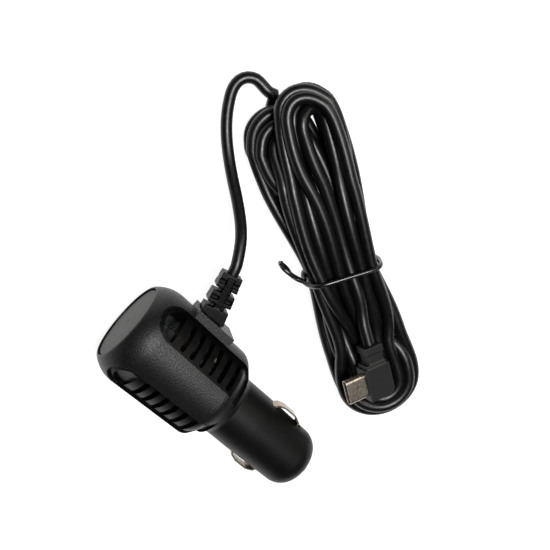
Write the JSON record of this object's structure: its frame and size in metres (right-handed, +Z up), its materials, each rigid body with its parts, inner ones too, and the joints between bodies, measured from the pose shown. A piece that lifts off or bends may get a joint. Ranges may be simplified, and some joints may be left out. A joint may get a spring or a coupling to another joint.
{
  "type": "vehicle socket power adapter lead",
  "caption": "Vehicle socket power adapter with a slotted head, sprung plug contacts, a long lead tied in a hank and an angled USB-C plug.",
  "frame": {"origin": "bottom centre of the resting adapter's box, without its strain relief, lead, hank, tie and USB plug", "axes": "+X from the end disc towards the plug's tip, which is 1.54 degrees lower; +Y towards the lead's exit; +Z up from the surface it lies on"},
  "size_m": [0.1176, 0.1084, 0.0334],
  "materials": {
    "head_plastic": "fine grain, satin black",
    "barrel_plastic": "smooth satin black",
    "disc_plastic": "satin dark warm grey",
    "clear_pipe": "clear",
    "led_lens": "cloudy clear",
    "board_laminate": "solder mask over laminate",
    "ferrite": "grey sintered",
    "copper_wire": "enamelled copper",
    "can_aluminium": "satin",
    "chip_epoxy": "moulded epoxy",
    "chip_ceramic": "fired ceramic",
    "fuse_tube": "clear",
    "nickel": "nickel plate",
    "brass_strip": "stamped",
    "spring_wire": "drawn wire",
    "red_insulation": "satin",
    "black_insulation": "satin",
    "relief_rubber": "satin",
    "cable_jacket": "glossy soft vinyl",
    "tie_jacket": "glossy vinyl over wire",
    "plug_rubber": "matte overmould",
    "plug_steel": "satin nickel plate",
    "gold_contact": "gold plate"
  },
  "bodies": {
    "root": {"head_shell": "head_plastic", "barrel_shell": "barrel_plastic", "end_disc": "disc_plastic", "light_pipe": "clear_pipe", "status_led": "led_lens", "circuit_board": "board_laminate", "inductor_core": "ferrite", "inductor_coil": "copper_wire", "input_capacitor": "can_aluminium", "output_capacitor": "can_aluminium", "regulator_chip": "chip_epoxy", "rectifier_diode": "chip_epoxy", "chip_parts": "chip_ceramic", "fuse_glass": "fuse_tube", "fuse_caps": "nickel", "fuse_clip": "brass_strip", "tip_spring": "spring_wire", "contact_yoke": "brass_strip", "ground_lead": "black_insulation", "red_conductor": "red_insulation", "black_conductor": "black_insulation", "strain_relief": "relief_rubber", "cable": "cable_jacket", "cable_hank": "cable_jacket", "twist_tie": "tie_jacket", "usb_housing": "plug_rubber", "usb_shell": "plug_steel", "usb_insert": "chip_epoxy", "usb_contacts": "gold_contact"},
    "tip": {"centre_contact": "nickel"},
    "left_contact": {"side_contact_left": "nickel"},
    "right_contact": {"side_contact_right": "nickel"}
  },
  "joints": [
    {"name": "tip_press", "type": "slide", "parent": "root", "child": "tip", "axis": [-0.9996, 0, 0.0269], "range_m": [0, 0.0023], "stiffness_N_per_m": 1200, "springref_m": -0.001, "deforming": ["tip_spring"]},
    {"name": "left_contact_press", "type": "slide", "parent": "root", "child": "left_contact", "axis": [0, -1, 0], "range_m": [0, 0.0019], "stiffness_N_per_m": 700, "springref_m": -0.0004},
    {"name": "right_contact_press", "type": "slide", "parent": "root", "child": "right_contact", "axis": [0, 1, 0], "range_m": [0, 0.0019], "stiffness_N_per_m": 700, "springref_m": -0.0004}
  ]
}
